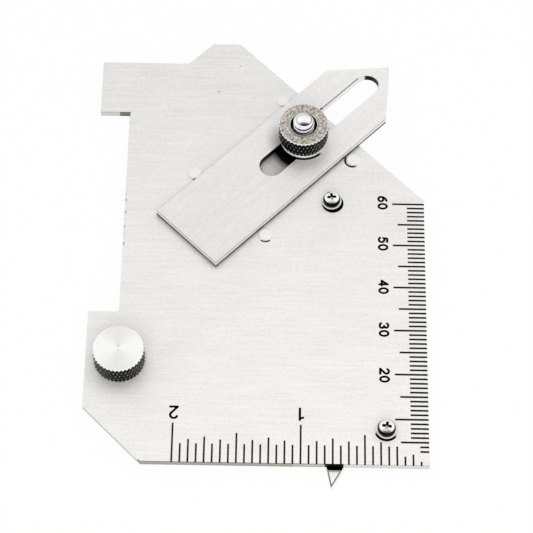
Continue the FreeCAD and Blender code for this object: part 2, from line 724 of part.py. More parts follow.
def make_swing_arm():
    """The swing arm: a blade that widens from its round end to an arc about the pivot.

    The spur is the corner where the arc meets the lower end of the blade.
    """
    reach = "(sizes.pivot_y + sizes.spur_reach)"
    radius = "sizes.arm_radius"
    end = "sizes.arm_end_radius"
    tip = (f"sqrt({radius} * {radius} - {reach} * {reach})", f"-{reach}")
    upper, lower, edge = "sizes.arm_upper_angle", "sizes.arm_lower_angle", "sizes.spur_edge_angle"
    root = (f"{tip[0]} + sizes.spur_edge_length * cos({edge})",
            f"{tip[1]} + sizes.spur_edge_length * sin({edge})")
    beyond = (f"{tip[0]} - sizes.spur_edge_length * cos({edge})",
              f"{tip[1]} - sizes.spur_edge_length * sin({edge})")
    upper_start = (f"-{end} * sin({upper})", f"{end} * cos({upper})")
    lower_start = (f"{end} * sin({lower})", f"-{end} * cos({lower})")
    upper_end = (f"{upper_start[0]} + {radius} * cos({upper})",
                 f"{upper_start[1]} + {radius} * sin({upper})")
    body = new_body("arm_blade")
    sketch = new_sketch(body, "arm_outline")
    outline(sketch, [upper_start, lower_start, root, beyond, (upper_end[0], beyond[1]), upper_end])
    thickness = "sizes.strip_thickness - sizes.arm_gap"
    pad(body, sketch, thickness)

    round_end = doc.addObject("Part::Cylinder", "arm_round_end")
    round_end.setExpression("Radius", end)
    round_end.setExpression("Height", thickness)
    blade = doc.addObject("Part::Fuse", "arm_with_round_end")
    blade.Base = body
    blade.Tool = round_end

    reach_disc = doc.addObject("Part::Cylinder", "arm_reach")
    reach_disc.setExpression("Radius", radius)
    reach_disc.setExpression("Height", thickness)
    trimmed = doc.addObject("Part::Common", "arm_trimmed")
    trimmed.Base = blade
    trimmed.Tool = reach_disc

    bore = doc.addObject("Part::Cylinder", "arm_bore")
    bore.setExpression("Radius", "sizes.bush_diameter / 2 + sizes.rivet_gap")
    bore.setExpression("Height", thickness)
    drilled = doc.addObject("Part::Cut", "arm_drilled")
    drilled.Base = trimmed
    drilled.Tool = bore

    rivet_seat = doc.addObject("Part::Cylinder", "arm_rivet_seat")
    rivet_seat.setExpression("Radius", "sizes.bush_rivet_diameter / 2 + sizes.rivet_gap")
    rivet_seat.setExpression("Height", "sizes.bush_rivet_height + sizes.rivet_gap")
    arm = doc.addObject("Part::Cut", "swing_arm")
    arm.Label = "swing_arm"
    arm.Base = drilled
    arm.Tool = rivet_seat
    place(arm, PIVOT_X, PIVOT_Y)
    return arm


def make_arc_strip():
    """The arc strip: guides the end of the arm and is held by two screws from above."""
    body = new_body("arc_strip")
    outer = f"({STRIP_INNER} + sizes.strip_width)"
    turned(body, [
        (STRIP_INNER, "0"),
        (outer, "0"),
        (outer, "sizes.strip_thickness"),
        (STRIP_INNER, "sizes.strip_thickness"),
    ], sweep="sizes.strip_to - sizes.strip_from")
    holes = new_sketch(body, "strip_holes", height="sizes.strip_thickness")
    for side in SCREW_SIDES:
        circle(holes, *screw_from_pivot(side, "sizes.strip_from"),
               "sizes.screw_diameter + 2 * sizes.thread_gap")
    pocket(body, holes, "sizes.strip_thickness")
    place(body, PIVOT_X, PIVOT_Y, "0", "sizes.strip_from")
    return body


def screw_from_pivot(side, turned_by="0"):
    """Where a strip screw stands, measured from the pivot along axes turned by an angle."""
    radius = f"sizes.{side}_screw_radius"
    angle = f"(sizes.{side}_screw_angle - {turned_by})"
    return f"{radius} * cos({angle})", f"{radius} * sin({angle})"


def make_strip_screw(side):
    """A small pan head screw with a cross recess, from the back of the plate into the strip."""
    name = f"{side}_screw"
    body = new_body(name)
    shank = "sizes.screw_diameter / 2"
    head = "sizes.screw_head_diameter / 2"
    seat = f"({PLATE_TOP} + sizes.spring_washer_thickness)"
    top = f"({seat} + sizes.screw_head_height)"
    crown = "sizes.screw_head_crown"
    turned(body, [
        ("0", "sizes.screw_end_gap"),
        (shank, "sizes.screw_end_gap"),
        (shank, seat),
        (head, seat),
        (head, f"{top} - sizes.screw_head_shoulder"),
        (f"{head} - {crown}", f"{top} - {crown}"),
        ("0", top),
    ], crown=True)
    recess = new_sketch(body, f"{name}_recess", height=top)
    long, short = "sizes.recess_length / 2", "sizes.recess_slot / 2"
    outline(recess, [
        (long, f"-{short}"), (long, short), (short, short), (short, long),
        (f"-{short}", long), (f"-{short}", short), (f"-{long}", short), (f"-{long}", f"-{short}"),
        (f"-{short}", f"-{short}"), (f"-{short}", f"-{long}"), (short, f"-{long}"),
        (short, f"-{short}"),
    ])
    pocket(body, recess, "sizes.recess_depth_cross")
    x, y = screw_from_pivot(side)
    place(body, f"{PIVOT_X} + {x}", f"{PIVOT_Y} + {y}")
    return body


def make_spring_washer(side):
    """A split spring washer under a screw head."""
    body = new_body(f"{side}_spring_washer")
    bore = "sizes.screw_diameter / 2 + sizes.screw_clearance"
    rim = "sizes.spring_washer_diameter / 2"
    turned(body, [
        (bore, "0"),
        (rim, "0"),
        (rim, "sizes.spring_washer_thickness"),
        (bore, "sizes.spring_washer_thickness"),
    ], sweep="360 - sizes.spring_washer_gap_angle")
    x, y = screw_from_pivot(side)
    place(body, f"{PIVOT_X} + {x}", f"{PIVOT_Y} + {y}", PLATE_TOP, "sizes.spring_washer_turn")
    return body


pieces = [
    make_plate(),
    make_slide(),
    *make_guide_pins(),
    make_stud(),
    make_clamp_washer(),
    make_clamp_nut(),
    make_thumb_screw(),
    make_pivot_bush(),
    make_swing_arm(),
    make_arc_strip(),
    *[make_strip_screw(side) for side in SCREW_SIDES],
    *[make_spring_washer(side) for side in SCREW_SIDES],
]
doc.recompute()

for item in doc.Objects:
    if "Invalid" in item.State or "Error" in item.State:
        raise RuntimeError(f"{item.Label} did not build: {item.State}")
for piece in pieces:
    if piece.Shape.isNull() or not piece.Shape.isValid() or not piece.Shape.Solids:
        raise RuntimeError(f"{piece.Label} has no valid solid")

os.makedirs("parts", exist_ok=True)
for piece in pieces:
    piece.Shape.exportStep(f"parts/{piece.Label}.step")
    print(piece.Label, len(piece.Shape.Solids), round(piece.Shape.Volume, 2),
          [round(v, 2) for v in (piece.Shape.BoundBox.XMin, piece.Shape.BoundBox.XMax,
                                 piece.Shape.BoundBox.YMin, piece.Shape.BoundBox.YMax,
                                 piece.Shape.BoundBox.ZMin, piece.Shape.BoundBox.ZMax)])
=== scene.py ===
"""A stainless steel weld gauge, dressed and lit.

The plate, the slide, the arm and the strip keep their own solids and get brushed steel.
The turned parts, the knurled parts and the screws are drawn here in finer detail.
"""

import logging
import math
from dataclasses import dataclass, field
from enum import Enum, IntEnum
from functools import partialmethod
from typing import Any, Callable, ClassVar, Mapping, Optional, Sequence, Union

import bmesh
import bpy
from mathutils import Matrix, Vector


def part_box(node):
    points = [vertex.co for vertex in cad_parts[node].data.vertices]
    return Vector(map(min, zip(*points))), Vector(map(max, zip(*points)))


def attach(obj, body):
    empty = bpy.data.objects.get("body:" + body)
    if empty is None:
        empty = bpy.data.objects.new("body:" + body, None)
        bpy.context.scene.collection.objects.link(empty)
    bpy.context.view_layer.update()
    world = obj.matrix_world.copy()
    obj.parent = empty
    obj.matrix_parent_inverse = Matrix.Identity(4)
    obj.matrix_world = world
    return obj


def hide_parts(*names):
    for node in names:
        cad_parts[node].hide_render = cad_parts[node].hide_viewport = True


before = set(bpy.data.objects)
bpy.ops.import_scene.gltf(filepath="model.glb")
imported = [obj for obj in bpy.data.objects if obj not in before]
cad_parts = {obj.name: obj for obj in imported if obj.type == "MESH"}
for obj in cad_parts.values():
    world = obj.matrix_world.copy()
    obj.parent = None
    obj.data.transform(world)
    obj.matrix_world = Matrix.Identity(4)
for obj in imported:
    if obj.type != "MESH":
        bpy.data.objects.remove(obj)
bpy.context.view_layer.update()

MM = 0.001
SLIDE_ANGLE = 45.6

log = logging.getLogger("weld_gauge")

BMesh = bmesh.types.BMesh
Colour = tuple[float, float, float]
Point = tuple[float, float, float]
Place = tuple[float, float]
Number = Union[float, int, "Socket"]


def grey(level: float, yellow: float = 0.0) -> Colour:
    """A grey of this level, more yellow with less blue and a little more red."""
    return (level * (1 + yellow * 0.3), level, level * (1 - yellow))


def either_side(colour: Colour, share: float) -> tuple[Colour, Colour]:
    """A colour made darker and lighter by this share of it."""
    return (tuple(part * (1 - share) for part in colour),
            tuple(part * (1 + share) for part in colour))


def zero_corner() -> Place:
    """Where both scales start, in millimetres."""
    low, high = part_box("main_plate")
    return high[0] / MM, low[1] / MM


def axis_of(node: str) -> Place:
    """Where a round CAD node's axis stands, in millimetres."""
    low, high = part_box(node)
    return (low[0] + high[0]) / 2 / MM, (low[1] + high[1]) / 2 / MM


def along_slide(distance: float, aside: float = 0.0) -> Place:
    """A place by its distance from the stud along the slide, and how far it lies to the left."""
    turn = math.radians(SLIDE_ANGLE)
    return (distance * math.cos(turn) - aside * math.sin(turn),
            distance * math.sin(turn) + aside * math.cos(turn))


# Shaders.


class Maths(Enum):
    """Operations of a Math node that an operator or a method stands for."""

    ADD = "ADD"
    SUBTRACT = "SUBTRACT"
    MULTIPLY = "MULTIPLY"
    DIVIDE = "DIVIDE"
    LESS = "LESS_THAN"
    GREATER = "GREATER_THAN"
    ABSOLUTE = "ABSOLUTE"
    SQUARE_ROOT = "SQRT"


@dataclass(frozen=True)
class Socket:
    """An output of a shader node, which numbers and other outputs can be combined with."""

    graph: "Graph"
    socket: bpy.types.NodeSocket

    def _apply(self, operation: Maths, *others: Number, clamp: bool = False,
               reverse: bool = False) -> "Socket":
        """Put this and other values through a Math node.

        Args:
            operation: What the node does.
            others: The other values, in order.
            clamp: Whether the result is kept between 0 and 1.
            reverse: Whether the values go in the other way round.

        Returns:
            The node's result. A comparison gives 1 where it holds and 0 elsewhere.
        """
        values = (self, *others)[::-1] if reverse else (self, *others)
        settings = {"operation": operation.value, "use_clamp": clamp}
        return self.graph.node("ShaderNodeMath", settings, dict(enumerate(values)))

    __add__ = partialmethod(_apply, Maths.ADD)
    __sub__ = partialmethod(_apply, Maths.SUBTRACT)
    __rsub__ = partialmethod(_apply, Maths.SUBTRACT, reverse=True)
    __mul__ = partialmethod(_apply, Maths.MULTIPLY)
    __truediv__ = partialmethod(_apply, Maths.DIVIDE)
    __lt__ = partialmethod(_apply, Maths.LESS)
    __gt__ = partialmethod(_apply, Maths.GREATER)
    __abs__ = partialmethod(_apply, Maths.ABSOLUTE)
    root = partialmethod(_apply, Maths.SQUARE_ROOT)
    clamped = partialmethod(_apply, Maths.ADD, 0.0, clamp=True)

    def ramp(self, low: float, high: float) -> "Socket":
        """0 below low, 1 above high and even between; the other way round if low is above high."""
        return ((self - low) * (1 / (high - low))).clamped()


def distance(x: Socket, y: Socket) -> Socket:
    """How far a place lies from the axis."""
    return (x * x + y * y).root()


class Graph:
    """The nodes of one material or world."""

    TOP_ABOVE = 0.9
    WALL_BELOW = 0.3

    def __init__(self, tree: bpy.types.NodeTree) -> None:
        """Start from an empty tree."""
        self.tree = tree
        tree.nodes.clear()

    def node(self, kind: str, settings: Mapping[str, Any], inputs: Mapping[Any, Any],
             output: Union[int, str] = 0) -> Socket:
        """Add a node.

        Args:
            kind: Its type.
            settings: Its own properties, set first. "stops" are a colour ramp's stops.
            inputs: A value or a socket for each input, by name or place.
            output: The output to return, by name or place.

        Returns:
            That output, or the first if it has several.
        """
        node = self.tree.nodes.new(kind)
        for name, setting in settings.items():
            if name == "stops":
                self._set_stops(node.color_ramp, setting)
            else:
                setattr(node, name, setting)
        for name, given in inputs.items():
            if isinstance(given, Socket):
                self.tree.links.new(given.socket, node.inputs[name])
            elif isinstance(given, tuple) and len(given) == 3 and node.inputs[name].type == "RGBA":
                node.inputs[name].default_value = (*given, 1.0)
            else:
                node.inputs[name].default_value = given
        return Socket(self, node.outputs[output]) if len(node.outputs) else Socket(self, None)

    @staticmethod
    def _set_stops(ramp: bpy.types.ColorRamp, stops: Sequence[Place]) -> None:
        """Give a colour ramp its stops, each a place and a grey level."""
        while len(ramp.elements) < len(stops):
            ramp.elements.new(1.0)
        for element, (place, level) in zip(ramp.elements, stops):
            element.position = place
            element.color = (level, level, level, 1.0)

    def millimetres(self) -> tuple[Socket, Socket, Socket, Socket]:
        """The place on the piece.

        Returns:
            The place as a vector in millimetres, and its x, y and z.
        """
        place = self.node("ShaderNodeTexCoord", {}, {}, "Object")
        scaled = self.node("ShaderNodeVectorMath", {"operation": "SCALE"},
                           {0: place, "Scale": 1 / MM})
        parts = [self.node("ShaderNodeSeparateXYZ", {}, {0: scaled}, i) for i in range(3)]
        return scaled, parts[0], parts[1], parts[2]

    def facing_up(self) -> Socket:
        """How far the face looks up: 1 on a top, 0 on a wall and -1 underneath."""
        facing = self.node("ShaderNodeNewGeometry", {}, {}, "True Normal")
        return self.node("ShaderNodeSeparateXYZ", {}, {0: facing}, 2)

    def top(self) -> Socket:
        """1 on the faces that look up."""
        return self.facing_up() > self.TOP_ABOVE

    def wall(self) -> Socket:
        """1 on the walls."""
        return abs(self.facing_up()) < self.WALL_BELOW

    def ray(self, kind: str) -> Socket:
        """1 for this kind of ray."""
        return self.node("ShaderNodeLightPath", {}, {}, kind)

    def mix(self, factor: Number, first: Any, second: Any) -> Socket:
        """A colour between two: the first at a factor of 0 and the second at 1."""
        return self.node("ShaderNodeMix", {"data_type": "RGBA"},
                         {0: factor, 6: first, 7: second}, 2)

    def noise(self, place: Socket, scale: float, detail: float = 2.0,
              roughness: float = 0.5) -> Socket:
        """Cloudy noise between 0 and 1."""
        return self.node("ShaderNodeTexNoise", {}, {"Vector": place, "Scale": scale,
                                                    "Detail": detail, "Roughness": roughness})

    def streaks(self, place: Socket, angle: float, along: float, across: float,
                roughness: float = 0.5) -> Socket:
        """Noise drawn out along a grain, with its angle in degrees and its scale each way."""
        turned = self.node("ShaderNodeVectorRotate", {"rotation_type": "Z_AXIS"},
                           {"Vector": place, "Angle": -math.radians(angle)})
        drawn = self.node("ShaderNodeVectorMath", {"operation": "MULTIPLY"},
                          {0: turned, 1: (along, across, across)})
        return self.noise(drawn, 1.0, 3.0, roughness)

    def bump(self, height: Number, depth: float) -> Socket:
        """A surface raised by a height between 0 and 1, of this depth in millimetres."""
        return self.node("ShaderNodeBump", {}, {"Strength": 1.0, "Distance": depth * MM,
                                                "Height": height})


@dataclass(frozen=True)
class Patches:
    """Patches of noise, by its scale and by the levels at which they begin and fill."""

    scale: float
    low: float
    high: float
    detail: float = 2.0
    roughness: float = 0.5

    def mask(self, graph: Graph, place: Socket) -> Socket:
        """1 in the patches."""
        noise = graph.noise(place, self.scale, self.detail, self.roughness)
        return noise.ramp(self.low, self.high)


@dataclass(frozen=True)
class Grime:
    """Dirt in small patches: how strongly it shows, its colour and its size in millimetres."""

    strength: float
    colour: Colour
    size: float

    def lay(self, graph: Graph, place: Socket, steel: Socket) -> Socket:
        """Lay the dirt over a colour."""
        patches = Patches(1 / self.size, 0.42, 0.62, 4.0, 0.65)
        return graph.mix(patches.mask(graph, place) * self.strength, steel, self.colour)


@dataclass(frozen=True)
class Finish:
    """A finish of the gauge, and the material that shows it."""

    name: str
    colour: Colour
    roughness: float
    metallic: float = 1.0

    def material(self) -> bpy.types.Material:
        """The material, made the first time that it is asked for."""
        known = bpy.data.materials.get(self.name)
        if known:
            return known
        material = bpy.data.materials.new(self.name)
        material.use_nodes = True
        graph = Graph(material.node_tree)
        inputs = {"Base Color": self.colour, "Roughness": self.roughness,
                  "Metallic": self.metallic}
        inputs.update(self.surface(graph))
        shader = graph.node("ShaderNodeBsdfPrincipled", {}, inputs)
        graph.node("ShaderNodeOutputMaterial", {}, {"Surface": shader})
        return material

    def surface(self, graph: Graph) -> dict[str, Any]:
        """What varies over the surface, by shader input."""
        return {}


@dataclass(frozen=True)
class FootShade:
    """Painted contact shadow along the lower edge of a sheet part's walls, which fades at its upper
    edge.
    """

    base: float
    height: float
    colour: Colour
    patchy: float
    full_share: float = 0.85
    gaps: Patches = Patches(1.1, 0.45, 0.6)

    def mask(self, graph: Graph, place: Socket, height: Socket) -> Socket:
        """1 on the painted shadow."""
        low = height.ramp(self.base + self.height, self.base + self.height * self.full_share)
        return low * (1 - graph.top()) * (1 - self.gaps.mask(graph, place) * self.patchy)


class Faces(Enum):
    """Which faces of a sheet part a mark shows on."""

    TOP = "top"
    WALL = "wall"


class Area:
    """Part of a plan view, in millimetres from a datum."""

    def mask(self, x: Socket, y: Socket) -> Socket:
        """1 inside and 0 outside."""
        raise NotImplementedError


@dataclass(frozen=True)
class Stroke(Area):
    """A straight stroke from a to b, half its width, and how softly its sides end."""

    a: Place
    b: Place
    half: float
    soft: float = 0.02

    def mask(self, x: Socket, y: Socket) -> Socket:
        """1 along the stroke."""
        a, b = Vector(self.a), Vector(self.b)
        run = (b - a).length
        along = (b - a) / run
        u = (x - a.x) * along.x + (y - a.y) * along.y
        v = (y - a.y) * along.x - (x - a.x) * along.y
        return abs(v).ramp(self.half + self.soft, self.half) * (u > 0.0) * (u < run)


@dataclass(frozen=True)
class Arc(Area):
    """A disc or a ring, or the part of it within a spread either side of an angle in degrees.

    Its rims end over a soft width in millimetres, and its two ends over a fade from 0 to 1.
    """

    place: Place
    outer: float
    inner: float = 0.0
    angle: float = 270.0
    spread: float = 180.0
    soft: float = 0.04
    fade: float = 0.3

    def mask(self, x: Socket, y: Socket) -> Socket:
        """1 on the arc."""
        dx, dy = x - self.place[0], y - self.place[1]
        radius = distance(dx, dy)
        ring = radius.ramp(self.outer + self.soft, self.outer)
        ring = ring * radius.ramp(self.inner - self.soft, self.inner)
        if self.spread >= 180:
            return ring
        turn = math.radians(self.angle)
        toward = (dx * math.cos(turn) + dy * math.sin(turn)) / radius
        limit = math.cos(math.radians(self.spread))
        return ring * toward.ramp(limit, limit + (1 - limit) * self.fade)


@dataclass(frozen=True)
class Mark:
    """A scratch, a speck, painted shade or painted light: where it is, its colour and how strongly
    it shows.
    """

    area: Area
    colour: Colour
    strength: float = 1.0
    faces: Faces = Faces.TOP

    def lay(self, graph: Graph, steel: Socket, x: Socket, y: Socket, top: Socket) -> Socket:
        """Lay the mark over a colour; top is 1 on the faces that look up."""
        shown = top if self.faces is Faces.TOP else 1 - top
        return graph.mix(self.area.mask(x, y) * shown * self.strength, steel, self.colour)


@dataclass(frozen=True)
class BrushedSteel(Finish):
    """Stainless sheet with a fine straight grain and marks placed from a datum: scratches, specks,
    painted shade and painted light.

    The grain and the clouds are given as Graph.streaks takes them, the mottle as Graph.noise.
    """

    grain: Point = (0.12, 3.2, 0.65)
    grain_angle: float = 0.0
    grain_depth: float = 0.002
    grain_contrast: float = 0.26
    clouds: Place = (0.10, 0.22)
    cloud_contrast: float = 0.10
    mottle: Point = (1.7, 3.0, 0.7)
    mottle_contrast: float = 0.30
    roughness_contrast: float = 0.12
    painted_wall_light: Colour = (0.97, 0.97, 0.955)
    black_below: float = 0.05
    painted_light_drift: Place = (0.0, 0.0)
    foot_shade: Optional[FootShade] = None
    datum: Place = (0.0, 0.0)
    marks: tuple[Mark, ...] = ()

    def shade(self, graph: Graph, place: Socket, x: Socket, y: Socket, fine: Socket) -> Socket:
        """Base colour of the bare steel: grain, mottling, clouds and a painted light gradient over
        it.
        """
        clouds = graph.streaks(place, self.grain_angle, *self.clouds)
        mottle = graph.noise(place, *self.mottle)
        level = (fine - 0.5) * self.grain_contrast + (clouds - 0.5) * self.cloud_contrast
        level = level + (mottle - 0.5) * self.mottle_contrast
        # Painted light: a steady gradient, lighter towards one side of the part.
        level = level + x * self.painted_light_drift[0] + y * self.painted_light_drift[1]
        return graph.mix((level + 0.5).clamped(), *either_side(self.colour, 0.5))

    def surface(self, graph: Graph) -> dict[str, Any]:
        """Grain in the colour, the roughness and the relief, painted light and shade on the walls,
        and the marks over it.
        """
        place, row_x, row_y, z = graph.millimetres()
        x, y = row_x - self.datum[0], row_y - self.datum[1]
        fine = graph.streaks(place, self.grain_angle, *self.grain)
        steel = self.shade(graph, place, row_x, row_y, fine)
        # Walls painted lighter than the top: a painted reflection of the white floor.
        steel = graph.mix(graph.wall(), steel, self.painted_wall_light)
        # Painted contact shadow along the foot of the walls.
        if self.foot_shade:
            steel = graph.mix(self.foot_shade.mask(graph, place, z), steel, self.foot_shade.colour)
        top = graph.top()
        for mark in self.marks:
            steel = mark.lay(graph, steel, x, y, top)
        return {
            "Base Color": steel,
            "Metallic": self.metal_share(graph, steel),
            "Roughness": (fine - 0.5) * self.roughness_contrast + self.roughness,
            "Normal": graph.bump(fine, self.grain_depth),
        }

    def metal_share(self, graph: Graph, colour: Socket) -> Socket:
        """How metallic the surface is: as the finish says, and fully so where it is black."""
        level = graph.node("ShaderNodeRGBToBW", {}, {0: colour})
        black = level.ramp(self.black_below * 3, self.black_below)
        return black * (1 - self.metallic) + self.metallic


@dataclass(frozen=True)
class EngravedSteel(BrushedSteel):
    """Brushed plate whose engraved marks are filled with black, with dark nicks along the recess
    edge.
    """

    face: float = 3.0
    depth: float = 0.12
    slack: float = 0.0096
    ink: Colour = grey(0.003)
    mark_ink: Colour = (0.030, 0.018, 0.014)
    figures_from: Place = (-7.2, 9.2)
    nick_edge: float = -62.7
    nick_stretch: Place = (48.2, 62.0)
    nick_reach: Place = (0.55, 0.2)
    nick_colour: Colour = grey(0.18)
    nick_strength: float = 0.65
    nicks: Patches = Patches(0.9, 0.52, 0.62)

    def blotches(self, graph: Graph, place: Socket, x: Socket, y: Socket) -> Socket:
        """1 on the nicks along the edge of the recess."""
        low, high = self.nick_stretch
        near = (x - self.nick_edge).ramp(*self.nick_reach)
        return near * (y > low) * (y < high) * self.nicks.mask(graph, place)

    def ink_mask(self, graph: Graph, height: Socket) -> Socket:
        """1 on the floor and the walls of the engraving."""
        floor = self.face - self.depth
        deep = (height > floor - self.slack) * (height < self.face - self.slack)
        return deep * (graph.top() + graph.wall()).clamped()

    def surface(self, graph: Graph) -> dict[str, Any]:
        """Marked steel with ink and the dark nicks along the edge of the recess."""
        inputs = super().surface(graph)
        place, row_x, row_y, z = graph.millimetres()
        x, y = row_x - self.datum[0], row_y - self.datum[1]
        steel = graph.mix(self.blotches(graph, place, x, y) * self.nick_strength,
                          inputs["Base Color"], self.nick_colour)
        figures = (x < self.figures_from[0]) * (y > self.figures_from[1])
        ink = graph.mix(figures, self.mark_ink, self.ink)
        inked = graph.mix(self.ink_mask(graph, z), steel, ink)
        inputs.update({"Base Color": inked, "Metallic": self.metal_share(graph, inked)})
        return inputs


@dataclass(frozen=True)
class TurnedSteel(Finish):
    """Steel turned on a lathe: fine rings round the piece's own axis, with some grime."""

    ring_depth: float = 0.004
    ring_pitch: float = 0.11
    ring_contrast: float = 0.12
    roughness_contrast: float = 0.1
    anisotropy: float = 0.0
    anisotropy_turn: float = 0.0
    grime: Optional[Grime] = None

    def surface(self, graph: Graph) -> dict[str, Any]:
        """Rings and grime."""
        place, x, y, z = graph.millimetres()
        rings = graph.node("ShaderNodeTexNoise", {"noise_dimensions": "1D"},
                           {"W": distance(x, y) + z, "Scale": 1 / self.ring_pitch, "Detail": 2.0})
        steel = graph.mix(((rings - 0.5) * self.ring_contrast + 0.5).clamped(),
                          *either_side(self.colour, 0.4))
        if self.grime:
            steel = self.grime.lay(graph, place, steel)
        return {"Base Color": steel,
                "Roughness": (rings - 0.5) * self.roughness_contrast + self.roughness,
                "Normal": graph.bump(rings, self.ring_depth),
                "Anisotropic": self.anisotropy, "Anisotropic Rotation": self.anisotropy_turn}


@dataclass(frozen=True)
class GroovedSteel(Finish):
    """Knurled or threaded steel, with painted shade, black, in its grooves and bright on its
    crests.
    """

    crest: float = 5.25
    depth: float = 0.25
    groove_shade: Colour = grey(0.003)
    black_to: float = 0.3
    bright_from: float = 0.8
    wear: float = 0.8
    blotches: Patches = Patches(1.6, 0.35, 0.60)

    def surface(self, graph: Graph) -> dict[str, Any]:
        """Painted shade in the groove and a bright crest, by the distance from the piece's own
        axis.
        """
        place, x, y, _ = graph.millimetres()
        root = self.crest - self.depth
        high = distance(x, y).ramp(root + self.depth * self.black_to,
                                   root + self.depth * self.bright_from)
        bright = self.blotches.mask(graph, place) * self.wear + (1 - self.wear)
        # The grooves are painted black as shade.
        steel = graph.mix(high * bright, self.groove_shade, self.colour)
        return {"Base Color": steel, "Metallic": high * (self.metallic - 1) + 1}


@dataclass(frozen=True)
class CrossRecess(Finish):
    """The inside of a cross recess: light in the middle, a painted highlight in one arm and painted
    shade, black, in the others.
    """

    light_to: float = 0.25
    painted_shade_from: float = 0.5
    painted_highlight_arm: tuple[float, float] = (-0.15, -0.4)

    def surface(self, graph: Graph) -> dict[str, Any]:
        """Painted highlight and shade by the arm and the distance from the screw's axis."""
        _, x, y, _ = graph.millimetres()
        # Painted highlight in one arm, painted shade in the others.
        bright = y.ramp(*self.painted_highlight_arm)
        light = graph.mix(bright, self.colour, grey(0.95))
        outward = distance(x, y).ramp(self.light_to, self.painted_shade_from) * (1 - bright)
        return {"Base Color": graph.mix(outward, light, grey(0.004))}


# Finishes.

BLACK = grey(0.003)
BROWN = (0.12, 0.10, 0.07)
STUD = tuple(a - b for a, b in zip(axis_of("clamp_stud"), zero_corner()))
DOWN_THE_SLOT = 180 + SLIDE_ANGLE

SCRATCHES = (
    Mark(Stroke((-56.26, 84.23), (-54.59, 83.03), 0.07), grey(0.98)),
    Mark(Stroke((-11.4, 12.69), (-10.7, 12.29), 0.05), grey(0.98)),
    Mark(Arc((-43.79, 87.76), 0.16), grey(0.1), 0.8),
    Mark(Arc((-39.16, 94.51), 0.13), grey(0.1), 0.7),
)
# Painted shadow of the nut on the plate, seen through the slot: a grey patch and a black patch
# beside the nut.
SLOT_PAINTED_SHADOW = (
    Mark(Arc(STUD, 7.2, 0.0, DOWN_THE_SLOT, 42, 5.5), grey(0.42, 0.04), 0.85),
    Mark(Arc(STUD, 6.2, 0.0, DOWN_THE_SLOT, 52, 1.6), (0.008, 0.006, 0.004)),
)
# Painted shade on the plate: a black crescent by the upper screw, a black arc before the lower
# washer and dark arcs round three pins.
SCREW_AND_PIN_SHADE = tuple(Mark(Arc(*arc), BLACK) for arc in (
    ((-19.14, 59.95), 2.25),
    ((-8.41, 7.62), 2.42, 1.9, 262, 70),
    ((-15.0, 70.65), 1.72, 1.36, 225, 85),
    ((-33.1, 51.95), 1.66, 1.36, 270, 42),
    ((-48.3, 66.8), 1.66, 1.36, 270, 14),
))
# Painted shade on the plate's walls: a painted contact shadow along the lower edge and the tab, and
# a black band above the spur.
CUT_EDGE_SHADE = tuple(
    Mark(Stroke((left, y), (right, y), half), colour, strength, Faces.WALL)
    for left, right, y, half, colour, strength in (
        (-60.5, -27.0, 0.0, 0.5, (0.38, 0.345, 0.29), 0.95),
        (-27.0, -20.6, 0.0, 0.5, (0.52, 0.49, 0.43), 0.95),
        (-20.6, -16.9, 0.0, 0.5, BLACK, 1.0),
        (-16.9, 0.1, 0.0, 0.5, (0.74, 0.72, 0.67), 0.85),
        (-69.1, -64.9, 82.0, 0.6, (0.68, 0.65, 0.59), 0.9),
        (-64.9, -62.6, 82.0, 0.6, (0.09, 0.08, 0.06), 0.85),
    ))
PLATE_STEEL = EngravedSteel(
    "plate_steel", grey(0.90, 0.026), 0.48, metallic=0.45, painted_light_drift=(0.0003, -0.0013),
    foot_shade=FootShade(1.5, 0.6, BROWN, 0.15), datum=zero_corner(),
    marks=SCRATCHES + SLOT_PAINTED_SHADOW + SCREW_AND_PIN_SHADE + CUT_EDGE_SHADE,
)

SLIDE_RIM_LINES = (
    Mark(Stroke(along_slide(-34.4, -8.78), along_slide(16.0, -8.78), 0.07), grey(0.06), 0.85),
    Mark(Stroke(along_slide(-34.38, -8.8), along_slide(-34.38, 8.9), 0.07), grey(0.06), 0.85),
)
# Painted light and shade on the slot's walls: white along most of the slot, black near the nut and
# at its far end.
SLOT_WALL_LIGHT_AND_SHADE = (
    Mark(Stroke(along_slide(-4.0), along_slide(22.4), 2.56), grey(0.98), 1.0, Faces.WALL),
    Mark(Stroke(along_slide(-12.4), along_slide(-4.0), 2.8), BLACK, 1.0, Faces.WALL),
    Mark(Arc(along_slide(19.5), 2.8, 2.0, 54, 52, 0.1), BLACK, 1.0, Faces.WALL),
)
# Painted shade: dark lines on the top along the slot's far wall.
SLOT_RIM_SHADE = (
    Mark(Stroke(along_slide(4.0, 2.6), along_slide(19.5, 2.6), 0.17), grey(0.05), 0.9),
    Mark(Stroke(along_slide(4.0, 2.7), along_slide(8.5, 2.7), 0.2), BLACK),
)
# Painted shadow of the nut on the slide: a black arc under the washer and a brown smear to its
# lower left.
WASHER_PAINTED_SHADOW = (
    Mark(Arc((0.0, 0.0), 5.25, 4.9, 264, 56, 0.2), BLACK),
    Mark(Arc((0.0, 0.0), 5.4, 4.4, 200, 62, 2.6, 0.9), BROWN, 0.6),
)
SLIDE_STEEL = BrushedSteel(
    "slide_steel", grey(0.83, 0.025), 0.42, metallic=0.5, grain_angle=SLIDE_ANGLE,
    painted_light_drift=(0.0010, 0.0010), foot_shade=FootShade(3.03, 0.82, BLACK, 0.1), datum=axis_of("clamp_stud"),
    marks=SLIDE_RIM_LINES + SLOT_WALL_LIGHT_AND_SHADE + SLOT_RIM_SHADE + WASHER_PAINTED_SHADOW,
)

SPUR_TIP = (42.70, -26.72)
